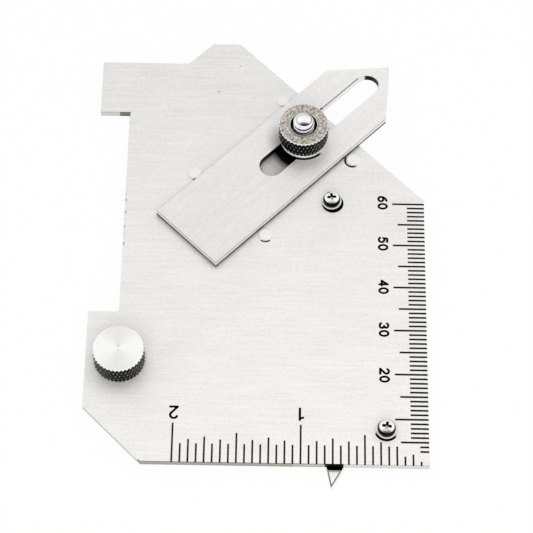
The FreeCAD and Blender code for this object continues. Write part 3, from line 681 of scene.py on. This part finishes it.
# Painted shade on the spur: dark outlines on its edges and a black and brown band below the plate's
# edge.
SPUR_SHADE = (
    Mark(Stroke(SPUR_TIP, (SPUR_TIP[0] - 0.84, SPUR_TIP[1] + 4.2), 0.22), grey(0.03), 0.9),
    Mark(Arc((0.0, 0.0), 50.37, 50.13), grey(0.06), 0.9),
    Mark(Stroke((40.5, -23.08), (45.8, -23.08), 0.3, 0.06), (0.45, 0.40, 0.28), 0.8),
    Mark(Stroke((40.5, -22.68), (45.8, -22.68), 0.32), BLACK),
)
ARM_STEEL = BrushedSteel(
    "arm_steel", grey(0.96, 0.012), 0.40, metallic=0.2, grain_angle=-10.0,
    datum=axis_of("pivot_bush"), marks=SPUR_SHADE,
)

PIN_STEEL = TurnedSteel("pin_steel", grey(0.88, 0.02), 0.36, metallic=0.5, ring_depth=0.002)
KNOB_TOP = TurnedSteel("knob_top_steel", grey(0.94, 0.006), 0.30, ring_depth=0.002,
                       ring_pitch=0.3, ring_contrast=0.20, anisotropy=0.85,
                       anisotropy_turn=0.25, grime=Grime(0.12, (0.5, 0.47, 0.40), 0.35))
NUT_TOP = TurnedSteel("nut_top_steel", (0.66, 0.625, 0.56), 0.40, metallic=0.6,
                      ring_contrast=1.0, ring_pitch=0.5, grime=Grime(0.85, BROWN, 0.6))
BRIGHT_STEEL = TurnedSteel("bright_steel", grey(0.93, 0.004), 0.18, ring_depth=0.0005)
# Pale, hardly metallic steel: a painted highlight on rims, washers and bevels.
PAINTED_HIGHLIGHT_STEEL = Finish("painted_highlight_steel", grey(0.98), 0.34, metallic=0.15)
KNURL = GroovedSteel("knurl_steel", grey(0.80, 0.02), 0.30, metallic=0.6, black_to=0.68,
                     bright_from=1.0)
THREAD = GroovedSteel("thread_steel", grey(0.98, 0.004), 0.30, metallic=0.15, crest=2.2,
                      depth=0.36, black_to=0.45, bright_from=0.65, wear=0.0)
# Near-black steel: painted shade on the sides of the screw heads and the split washers.
PAINTED_SHADE_STEEL = Finish("painted_shade_steel", grey(0.012), 0.35)
RECESS_STEEL = CrossRecess("recess_steel", (0.55, 0.50, 0.38), 0.3)
SHADOW = Finish("countersink_black", grey(0.01), 0.6)


# Meshes.


class Part(IntEnum):
    """Parts of a turned piece, by the number of their material slot."""

    FACE = 0
    SIDE = 1
    RIM = 2
    INNER = 3


@dataclass(frozen=True)
class Ring:
    """A ring of a turned piece: radius, height and relief in millimetres, and the part it ends."""

    radius: float
    height: float
    relief: float = 0.0
    part: Part = Part.FACE


Relief = Callable[[float, float], float]


def round_corners(points: Sequence[Place], radii: Sequence[float], steps: int = 4) -> list[Place]:
    """Round the corners of an open profile.

    Args:
        points: The profile's corners as radius and height.
        radii: A rounding for each corner; the ends and corners at 0 stay sharp.
        steps: Lines in each rounding.

    Returns:
        The new profile.
    """
    rounded: list[Place] = []
    for i, (point, radius) in enumerate(zip(points, radii)):
        if not radius or i in (0, len(points) - 1):
            rounded.append(point)
            continue
        corner = Vector(point)
        back = (Vector(points[i - 1]) - corner).normalized()
        ahead = (Vector(points[i + 1]) - corner).normalized()
        half = back.angle(ahead) / 2
        reach = radius / math.tan(half)
        centre = corner + (back + ahead).normalized() * (radius / math.sin(half))
        start, end = corner + back * reach - centre, corner + ahead * reach - centre
        for step in range(steps + 1):
            spoke = start.slerp(end, step / steps)
            rounded.append(tuple(centre + spoke * radius))
    return rounded


def dome(radius: float, top: float, crown: float, steps: int = 8) -> list[Place]:
    """A dome's profile from its rim to its top, as radius and height.

    Args:
        radius: The rim's radius.
        top: The height of the dome's top.
        crown: How far the rim lies below the top.
        steps: Lines in the profile.

    Returns:
        The profile.
    """
    sphere = (radius ** 2 + crown ** 2) / (2 * crown)
    profile = []
    for i in range(steps + 1):
        out = radius * (1 - i / steps)
        profile.append((out, top - sphere + math.sqrt(sphere ** 2 - out ** 2)))
    return profile


def rows_between(low: float, high: float, step: float) -> list[float]:
    """Heights from low to high, about a step apart."""
    count = max(1, round((high - low) / step))
    return [low + (high - low) * i / count for i in range(count + 1)]


def finish_mesh(name: str, shape: BMesh, finishes: Sequence[Finish],
                sharp: float = 32.0) -> bpy.types.Object:
    """Turn a bmesh into an object with smooth faces and sharp creases.

    Args:
        name: The object's name.
        shape: The mesh, which is freed.
        finishes: The finish of each material slot.
        sharp: The angle between two faces, in degrees, from which their edge is a crease.

    Returns:
        The object, in the scene.
    """
    bmesh.ops.recalc_face_normals(shape, faces=shape.faces)
    for face in shape.faces:
        face.smooth = True
    for edge in shape.edges:
        if len(edge.link_faces) == 2 and edge.calc_face_angle(0.0) > math.radians(sharp):
            edge.smooth = False
    mesh = bpy.data.meshes.new(name)
    shape.to_mesh(mesh)
    shape.free()
    for finish in finishes:
        mesh.materials.append(finish.material())
    piece = bpy.data.objects.new(name, mesh)
    bpy.context.scene.collection.objects.link(piece)
    return piece


def turned_shape(rings: Sequence[Ring], segments: int, relief: Optional[Relief] = None,
                 closed: bool = False) -> BMesh:
    """Turn rings about the Z axis.

    Args:
        rings: The profile, from one end to the other.
        segments: Facets round the axis.
        relief: How deep the surface lies at an angle and a height, from 0 to 1.
        closed: Whether the last ring joins the first, as in a piece with a bore.

    Returns:
        The mesh, in metres.
    """
    shape = bmesh.new()
    rows: list[list[bmesh.types.BMVert]] = []
    for ring in rings:
        if ring.radius <= 0:
            rows.append([shape.verts.new((0, 0, ring.height * MM))])
            continue
        row = []
        for i in range(segments):
            angle = 2 * math.pi * i / segments
            sunk = ring.relief * relief(angle, ring.height) if relief and ring.relief else 0.0
            radius = ring.radius - sunk
            row.append(shape.verts.new((radius * math.cos(angle) * MM,
                                        radius * math.sin(angle) * MM, ring.height * MM)))
        rows.append(row)
    pairs = list(zip(rows, rows[1:], rings[1:]))
    if closed:
        pairs.append((rows[-1], rows[0], rings[0]))
    for low, high, ring in pairs:
        for i in range(segments):
            k = (i + 1) % segments
            corners = [low[i % len(low)], low[k % len(low)], high[k % len(high)],
                       high[i % len(high)]]
            corners = list(dict.fromkeys(corners))
            if len(corners) > 2:
                face = shape.faces.new(corners)
                face.material_index = ring.part
    return shape


# Sub-assemblies.


@dataclass
class RoundPiece:
    """A piece drawn round its own axis, in place of a round CAD node.

    Each kind says how its names end, the CAD body that carries it, the record's material slot,
    its finishes in the order of Part, and the angle in degrees from which an edge is a crease.
    """

    ending: ClassVar[str]
    body: ClassVar[str]
    slot: ClassVar[str] = "fasteners"
    finishes: ClassVar[tuple[Finish, ...]]
    sharp: ClassVar[float] = 32.0

    node: str

    def shape(self, low: float, high: float) -> BMesh:
        """The piece in metres, between two heights in millimetres."""
        raise NotImplementedError

    def carve(self, piece: bpy.types.Object, high: float) -> None:
        """Cut what can't be turned, which most pieces don't have."""

    def build(self) -> None:
        """Build the piece and stand it on its axis, on the body that carries it."""
        low, high = (Vector(corner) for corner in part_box(self.node))
        shape = self.shape(low.z / MM, high.z / MM)
        piece = finish_mesh(f"{self.node}_{self.ending}", shape, self.finishes, self.sharp)
        self.carve(piece, high.z / MM)
        piece.location = ((low.x + high.x) / 2, (low.y + high.y) / 2, 0)
        bpy.context.view_layer.update()
        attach(piece, self.body)
        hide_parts(self.node)
        log.info("%s: %d faces, rides on %s", piece.name, len(piece.data.polygons), self.body)


@dataclass(frozen=True)
class DiamondKnurl:
    """Two crossing sets of grooves."""

    lift: float
    count: int = 40
    pitch: float = 2.3
    land: float = 0.12

    def __call__(self, angle: float, height: float) -> float:
        """How deep the surface lies there: 0 on a point and 1 in a groove."""
        around = angle * self.count / (2 * math.pi)
        up = (height - self.lift) / self.pitch
        deepest = 0.0
        for phase in (around + up, around - up):
            off = abs((phase % 1.0) - 0.5) * 2
            deepest = max(deepest, (off - self.land) / (1 - self.land))
        return deepest


@dataclass(frozen=True)
class Thread:
    """A right-handed thread with rounded crests."""

    pitch: float = 1.25
    sharpness: float = 1.6

    def __call__(self, angle: float, height: float) -> float:
        """How deep the surface lies there: 0 on the crest and 1 in the root."""
        phase = height / self.pitch - angle / (2 * math.pi)
        return (0.5 + 0.5 * math.cos(2 * math.pi * phase)) ** self.sharpness


@dataclass(frozen=True)
class KnurledRim:
    """The knurled side of the nut or the knob, and the shoulder over it."""

    top_radius: float
    top_bevel: float
    shoulder_inset: float
    shoulder_relief: float
    radius: float = 5.25
    depth: float = 0.24
    row: float = 0.11
    shoulder_rise: float = 0.1
    edge_width: float = 0.06
    edge_height: float = 0.05
    segments: int = 384

    def rings(self, low: float, high: float) -> list[Ring]:
        """Rings from the lower end of the knurl to the rim of the top face."""
        end = high - self.top_bevel
        side = [Ring(self.radius, height, self.depth, Part.SIDE)
                for height in rows_between(low, end, self.row)]
        return side + [
            Ring(self.radius - self.shoulder_inset, end + self.shoulder_rise,
                 self.shoulder_relief, Part.RIM),
            Ring(self.top_radius + self.edge_width, high - self.edge_height, part=Part.RIM),
            Ring(self.top_radius, high, part=Part.RIM),
        ]


@dataclass
class ClampNut(RoundPiece):
    """The knurled nut that clamps the slide, countersunk at the top."""

    ending, body, slot = "knurled", "nut", "knurled"
    finishes = (NUT_TOP, KNURL, PAINTED_HIGHLIGHT_STEEL, SHADOW)

    node: str = "clamp_nut"
    bore: float = 2.26
    base_radius: float = 4.85
    base_edge: float = 0.1
    base_bevel: float = 0.4
    mouth: float = 2.85
    mouth_edge: float = 0.1
    mouth_drop: float = 0.04
    rim: KnurledRim = KnurledRim(5.02, 0.3, 0.12, 0.08)

    def shape(self, low: float, high: float) -> BMesh:
        """The nut, open through its bore."""
        under = [Ring(self.bore, low), Ring(self.base_radius - self.base_edge, low),
                 Ring(self.base_radius, low + self.base_edge, part=Part.SIDE)]
        side = self.rim.rings(low + self.base_bevel, high)
        face = [Ring(self.mouth + self.mouth_edge, high),
                Ring(self.mouth, high - self.mouth_drop, part=Part.RIM),
                Ring(self.bore, high - (self.mouth - self.bore), part=Part.INNER)]
        return turned_shape(under + side + face, self.rim.segments, DiamondKnurl(low), True)


@dataclass
class ClampStud(RoundPiece):
    """The threaded stud with its domed end and low head."""

    ending, body = "threaded", "plate"
    finishes = (BRIGHT_STEEL, THREAD, PAINTED_HIGHLIGHT_STEEL)

    node: str = "clamp_stud"
    radius: float = 2.2
    head_radius: float = 4.5
    head_edge: float = 0.15
    head_height: float = 1.5
    shank_from: float = 3.05
    thread_depth: float = 0.36
    end_radius: float = 1.45
    crown: float = 0.35
    end_bevel: float = 0.8
    bevel_thread: float = 0.8
    bevel_rows: tuple[float, ...] = (0.15, 0.3, 0.45, 0.6, 0.75, 0.92)
    row: float = 0.07
    segments: int = 96

    def bevel(self, shoulder: float) -> list[Ring]:
        """Rings of the bevelled end: a painted highlight, with a line of painted shade under the
        dome.
        """
        rings = []
        for share in self.bevel_rows:
            radius = self.radius + (self.end_radius - self.radius) * share
            left = 1 - share
            part = Part.SIDE if share == self.bevel_rows[-1] else Part.RIM
            rings.append(Ring(radius, shoulder - self.end_bevel * left,
                              self.thread_depth * left * self.bevel_thread, part))
        return rings

    def shape(self, low: float, high: float) -> BMesh:
        """The stud, head down."""
        head = [Ring(0, low), Ring(self.head_radius - self.head_edge, low),
                Ring(self.head_radius, low + self.head_edge),
                Ring(self.head_radius, self.head_height), Ring(self.radius, self.head_height)]
        shoulder = high - self.crown
        shank = [Ring(self.radius, height, self.thread_depth, Part.SIDE)
                 for height in rows_between(self.shank_from, shoulder - self.end_bevel, self.row)]
        end = [Ring(*point) for point in dome(self.end_radius, high, self.crown)]
        return turned_shape(head + shank + self.bevel(shoulder) + end, self.segments, Thread())


@dataclass
class PlainWasher(RoundPiece):
    """The washer under the nut."""

    ending, body = "rounded", "washer"
    finishes = (PAINTED_HIGHLIGHT_STEEL,)
    sharp = 50.0

    node: str = "clamp_washer"
    bore: float = 2.35
    radius: float = 4.93
    rounding: float = 0.2
    segments: int = 128

    def shape(self, low: float, high: float) -> BMesh:
        """The washer, with rounded outer rims."""
        outline = round_corners(
            [(self.bore, low), (self.radius, low), (self.radius, high), (self.bore, high)],
            (0, self.rounding, self.rounding, 0))
        return turned_shape([Ring(*point) for point in outline], self.segments, None, True)


@dataclass
class ThumbScrew(RoundPiece):
    """The knurled thumb screw over the arm's pivot."""

    ending, body, slot = "knurled", "thumb", "knurled"
    finishes = (KNOB_TOP, KNURL, PAINTED_HIGHLIGHT_STEEL, BRIGHT_STEEL)

    node: str = "thumb_screw"
    shank: float = 1.5
    underside: float = 3.03
    underside_inset: float = 0.3
    underside_bevel: float = 0.1
    dot: float = 0.45
    dot_wall: float = 0.08
    dot_depth: float = 0.12
    rim: KnurledRim = KnurledRim(4.95, 0.32, 0.1, 0.1)

    def shape(self, low: float, high: float) -> BMesh:
        """The screw, with a small dot in the middle of its top."""
        base = [Ring(radius, height, part=Part.INNER) for radius, height in (
            (0, low), (self.shank, low), (self.shank, self.underside),
            (self.rim.radius - self.underside_inset, self.underside))]
        side = self.rim.rings(self.underside + self.underside_bevel, high)
        top = [Ring(self.dot * 2, high), Ring(self.dot, high),
               Ring(self.dot / 2, high - self.dot_wall, part=Part.INNER),
               Ring(0, high - self.dot_depth, part=Part.INNER)]
        return turned_shape(base + side + top, self.rim.segments, DiamondKnurl(self.underside))


@dataclass
class GuidePin(RoundPiece):
    """A pin beside the slide, nearly flush, with a softened rim."""

    ending, body, slot = "rounded", "plate", "pins"
    finishes = (PIN_STEEL, PAINTED_HIGHLIGHT_STEEL)
    sharp = 50.0

    rounding: float = 0.12
    segments: int = 64

    def shape(self, low: float, high: float) -> BMesh:
        """The pin, as wide as its CAD node."""
        left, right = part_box(self.node)
        radius = (right[0] - left[0]) / 2 / MM
        profile = round_corners([(0, low), (radius, low), (radius, high), (0, high)],
                                (0, 0, self.rounding, 0), 6)
        rings = [Ring(out, height,
                      part=Part.SIDE if high - self.rounding < height < high else Part.FACE)
                 for out, height in profile]
        return turned_shape(rings, self.segments)


@dataclass
class StripScrew(RoundPiece):
    """A pan head screw with a cross recess, turned by some degrees."""

    ending, body = "cross_head", "plate"
    finishes = (BRIGHT_STEEL, PAINTED_SHADE_STEEL, RECESS_STEEL)
    sharp = 40.0

    turn: float
    shank: float = 1.0
    head: float = 1.80
    head_height: float = 1.6
    seat_edge: float = 0.05
    shoulder: float = 0.85
    shoulder_rounding: float = 0.3
    face: float = 1.5
    crown: float = 0.28
    recess_length: float = 1.1
    recess_half_width: float = 0.3
    recess_depth: float = 0.8
    floor_length: float = 0.45
    floor_width: float = 0.7
    cutter_rise: float = 0.1
    segments: int = 72

    def shape(self, low: float, high: float) -> BMesh:
        """The screw without its recess: a side in painted shade and a bright face."""
        seat_height = high - self.head_height
        side = round_corners(
            [(0, low), (self.shank, low), (self.shank, seat_height), (self.head, seat_height),
             (self.head, high - self.shoulder), (self.face, high - self.crown)],
            (0, 0, 0, self.seat_edge, self.shoulder_rounding, 0), 5)
        rings = [Ring(*point, part=Part.SIDE) for point in side]
        rings += [Ring(*point) for point in dome(self.face, high, self.crown)[1:]]
        return turned_shape(rings, self.segments)

    def cutter(self, high: float, turn: float) -> bpy.types.Object:
        """One bar of the cross, narrower and shorter at the bottom."""
        shape = bmesh.new()
        long, half = self.recess_length, self.recess_half_width
        levels = ((high - self.recess_depth, long * self.floor_length, half * self.floor_width),
                  (high + self.cutter_rise, long, half))
        corners = [shape.verts.new((x * MM, y * MM, height * MM)) for height, u, v in levels
                   for x, y in ((-u, -v), (u, -v), (u, v), (-u, v))]
        for face in ((3, 2, 1, 0), (4, 5, 6, 7), (0, 1, 5, 4), (1, 2, 6, 5), (2, 3, 7, 6),
                     (3, 0, 4, 7)):
            shape.faces.new([corners[i] for i in face])
        bmesh.ops.rotate(shape, verts=shape.verts, cent=(0, 0, 0),
                         matrix=Matrix.Rotation(math.radians(turn), 3, "Z"))
        return finish_mesh("recess_cutter", shape, (RECESS_STEEL,))

    def carve(self, piece: bpy.types.Object, high: float) -> None:
        """Cut the cross into the head."""
        cutters = [self.cutter(high, self.turn + quarter) for quarter in (0, 90)]
        for cutter in cutters:
            cut = piece.modifiers.new("recess", "BOOLEAN")
            cut.operation, cut.object, cut.solver = "DIFFERENCE", cutter, "EXACT"
            cut.material_mode = "TRANSFER"
        bpy.context.view_layer.update()
        graph = bpy.context.evaluated_depsgraph_get()
        carved = bpy.data.meshes.new_from_object(piece.evaluated_get(graph))
        piece.modifiers.clear()
        piece.data = carved
        for cutter in cutters:
            bpy.data.objects.remove(cutter)


@dataclass
class SplitWasher(RoundPiece):
    """A split spring washer, one end a little above the other."""

    ending, body = "split", "plate"
    finishes = (PAINTED_HIGHLIGHT_STEEL, PAINTED_SHADE_STEEL)
    sharp = 40.0

    split: float = 150.0
    inner: float = 1.1
    outer: float = 2.06
    gap: float = 16.0
    lift: float = 0.06
    low_bevel: float = 0.06
    high_bevel: float = 0.08
    steps: int = 90

    def section(self, low: float, high: float) -> tuple[Place, ...]:
        """The section's corners as radius and height."""
        return ((self.inner, low), (self.outer - self.low_bevel, low),
                (self.outer, low + self.low_bevel), (self.outer, high - self.high_bevel),
                (self.outer - self.high_bevel, high), (self.inner, high))

    def shape(self, low: float, high: float) -> BMesh:
        """The washer, from its low end round to its high end."""
        shape = bmesh.new()
        rows = []
        for i in range(self.steps + 1):
            angle = math.radians(self.split + self.gap / 2 + (360 - self.gap) * i / self.steps)
            raised = self.lift * i / self.steps
            rows.append([shape.verts.new((r * math.cos(angle) * MM, r * math.sin(angle) * MM,
                                          z * MM))
                         for r, z in self.section(low + raised, high - self.lift + raised)])
        count = len(rows[0])
        for one, two in zip(rows, rows[1:]):
            for i in range(count):
                k = (i + 1) % count
                face = shape.faces.new((one[i], one[k], two[k], two[i]))
                face.material_index = Part.FACE if i in (3, 4) else Part.SIDE
        for end in (rows[0], rows[-1]):
            shape.faces.new(end).material_index = Part.SIDE
        return shape


@dataclass
class SheetParts:
    """The flat parts, which keep their own solids."""

    finishes: Mapping[str, Finish] = field(default_factory=lambda: {
        "main_plate": PLATE_STEEL,
        "throat_slide": SLIDE_STEEL,
        "swing_arm": ARM_STEEL,
        "arc_strip": ARM_STEEL,
        "pivot_bush": PIN_STEEL,
    })

    def build(self) -> None:
        """Give each of them its finish."""
        for node, finish in self.finishes.items():
            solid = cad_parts[node]
            solid.data.materials.clear()
            solid.data.materials.append(finish.material())
            log.info("%s: %s", node, finish.name)


# Studio.


@dataclass(frozen=True)
class Lamp:
    """A square soft lamp that looks at the gauge: place and side in metres, power in watts."""

    name: str
    place: Point
    size: float
    power: float

    def build(self) -> None:
        """Hang the lamp, unseen in the steel."""
        light = bpy.data.lights.new(self.name, "AREA")
        light.size, light.energy = self.size, self.power
        lamp = bpy.data.objects.new(self.name, light)
        lamp.location = self.place
        lamp.rotation_mode = "QUATERNION"
        lamp.rotation_quaternion = (-Vector(self.place)).to_track_quat("-Z", "Y")
        lamp.visible_glossy = False
        bpy.context.scene.collection.objects.link(lamp)


@dataclass
class Studio:
    """White floor, soft light and the camera."""

    camera_place: Point = (0.0038167, -0.2281610, 0.3979474)
    camera_right: Point = (0.9998616, 0.0161775, 0.0038923)
    camera_up: Point = (-0.0159864, 0.8691037, 0.4943715)
    lens: float = 148.695
    sensor: float = 36.0
    floor_size: float = 6.0
    floor_drop: float = 0.0001
    floor_grey: float = 0.9
    floor_share: float = 0.96
    back_low: Point = (0.0, 0.869, -0.494)
    tent: tuple[Place, ...] = (
        (0.0, 0.03), (0.16, 0.04), (0.23, 0.30), (0.29, 0.85), (0.40, 1.0), (0.5, 0.98),
        (0.6, 0.93), (0.75, 0.78), (0.9, 0.60), (1.0, 0.50),
    )
    ambient: float = 0.52
    level: float = 1.08
    lamps: tuple[Lamp, ...] = (
        Lamp("key", (0.45, 0.35, 0.85), 0.5, 1.2),
        Lamp("front", (0.0, -0.7, 0.75), 0.8, 5.0),
    )

    def build_camera(self) -> None:
        """Put the camera where the photograph was taken from."""
        camera = bpy.data.cameras.new("camera")
        camera.lens, camera.sensor_width = self.lens, self.sensor
        camera.clip_start, camera.clip_end = 0.01, 20.0
        holder = bpy.data.objects.new("camera", camera)
        right, up = Vector(self.camera_right), Vector(self.camera_up)
        turn = Matrix((right, up, right.cross(up))).transposed()
        holder.matrix_world = Matrix.Translation(self.camera_place) @ turn.to_4x4()
        bpy.context.scene.collection.objects.link(holder)
        bpy.context.scene.camera = holder

    def build_floor(self) -> None:
        """A white floor that keeps the shadow."""
        shape = bmesh.new()
        bmesh.ops.create_grid(shape, x_segments=1, y_segments=1, size=self.floor_size / 2)
        mesh = bpy.data.meshes.new("floor")
        shape.to_mesh(mesh)
        shape.free()
        material = bpy.data.materials.new("floor_white")
        material.use_nodes = True
        graph = Graph(material.node_tree)
        paper = graph.node("ShaderNodeBsdfDiffuse", {}, {"Color": grey(self.floor_grey)})
        white = graph.node("ShaderNodeEmission", {}, {"Color": grey(1.0), "Strength": 1.0})
        shown = graph.ray("Is Camera Ray") + graph.ray("Is Glossy Ray")
        shown = (shown + graph.ray("Is Transmission Ray")).clamped()
        blend = graph.node("ShaderNodeMixShader", {},
                           {0: shown * self.floor_share, 1: paper, 2: white})
        graph.node("ShaderNodeOutputMaterial", {}, {"Surface": blend})
        mesh.materials.append(material)
        floor = bpy.data.objects.new("floor", mesh)
        floor.location = (0, 0, -self.floor_drop)
        bpy.context.scene.collection.objects.link(floor)

    def build_world(self) -> None:
        """White for the camera, a tent with a dark front for reflections, plain light else."""
        world = bpy.data.worlds.new("studio")
        world.use_nodes = True
        bpy.context.scene.world = world
        graph = Graph(world.node_tree)
        direction = graph.node("ShaderNodeTexCoord", {}, {}, "Generated")
        tilt = graph.node("ShaderNodeVectorMath", {"operation": "DOT_PRODUCT"},
                          {0: direction, 1: self.back_low}, "Value")
        tent = graph.node("ShaderNodeValToRGB", {"stops": self.tent}, {0: tilt * 0.5 + 0.5})
        plain = graph.mix(graph.ray("Is Glossy Ray"), grey(self.ambient), tent)
        raised = graph.node("ShaderNodeVectorMath", {"operation": "SCALE"},
                            {0: plain, "Scale": self.level})
        colour = graph.mix(graph.ray("Is Camera Ray"), raised, grey(1.0))
        shader = graph.node("ShaderNodeBackground", {}, {"Color": colour, "Strength": 1.0})
        graph.node("ShaderNodeOutputWorld", {}, {"Surface": shader})

    def build(self) -> None:
        """Build the camera, the floor, the world and the lamps."""
        self.build_camera()
        self.build_floor()
        self.build_world()
        for lamp in self.lamps:
            lamp.build()
        bpy.context.scene.view_settings.view_transform = "Standard"
        log.info("studio: camera, floor, world and lamps")


def main() -> None:
    """Build the gauge and its studio."""
    logging.basicConfig(level=logging.INFO, format="%(name)s %(message)s")
    Studio().build()
    SheetParts().build()
    for side in ("left", "right"):
        for end in ("behind", "ahead"):
            GuidePin(f"guide_pin_{side}_{end}").build()
    ClampStud().build()
    PlainWasher().build()
    ClampNut().build()
    ThumbScrew().build()
    for place, turn in (("upper", 6.0), ("lower", -8.0)):
        SplitWasher(f"{place}_spring_washer").build()
        StripScrew(f"{place}_screw", turn).build()


if __name__ == "__main__":
    main()
